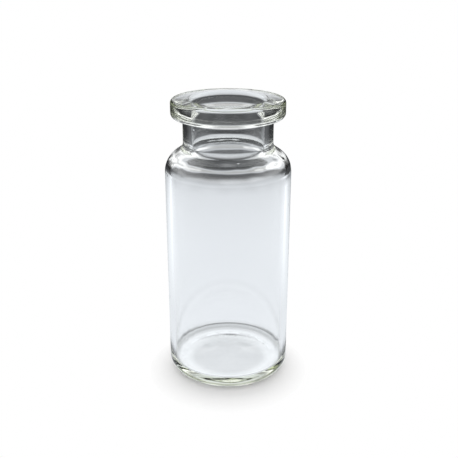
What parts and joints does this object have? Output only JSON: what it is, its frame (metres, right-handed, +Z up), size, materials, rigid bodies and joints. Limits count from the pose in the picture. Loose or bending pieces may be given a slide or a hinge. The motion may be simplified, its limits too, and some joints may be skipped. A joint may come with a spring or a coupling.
{
  "type": "glass sample vial",
  "caption": "Small clear glass vial: straight tube body, short neck and a thick rolled flange for a stopper and a crimp cap.",
  "frame": {"origin": "middle of the ring that the vial stands on", "axes": "+Z up the vial's axis, out of the mouth; X and Y are alike"},
  "size_m": [0.0222, 0.0222, 0.051],
  "materials": {
    "clear_glass": "clear, fire-polished"
  },
  "bodies": {
    "root": {"vial": "clear_glass"}
  },
  "joints": []
}
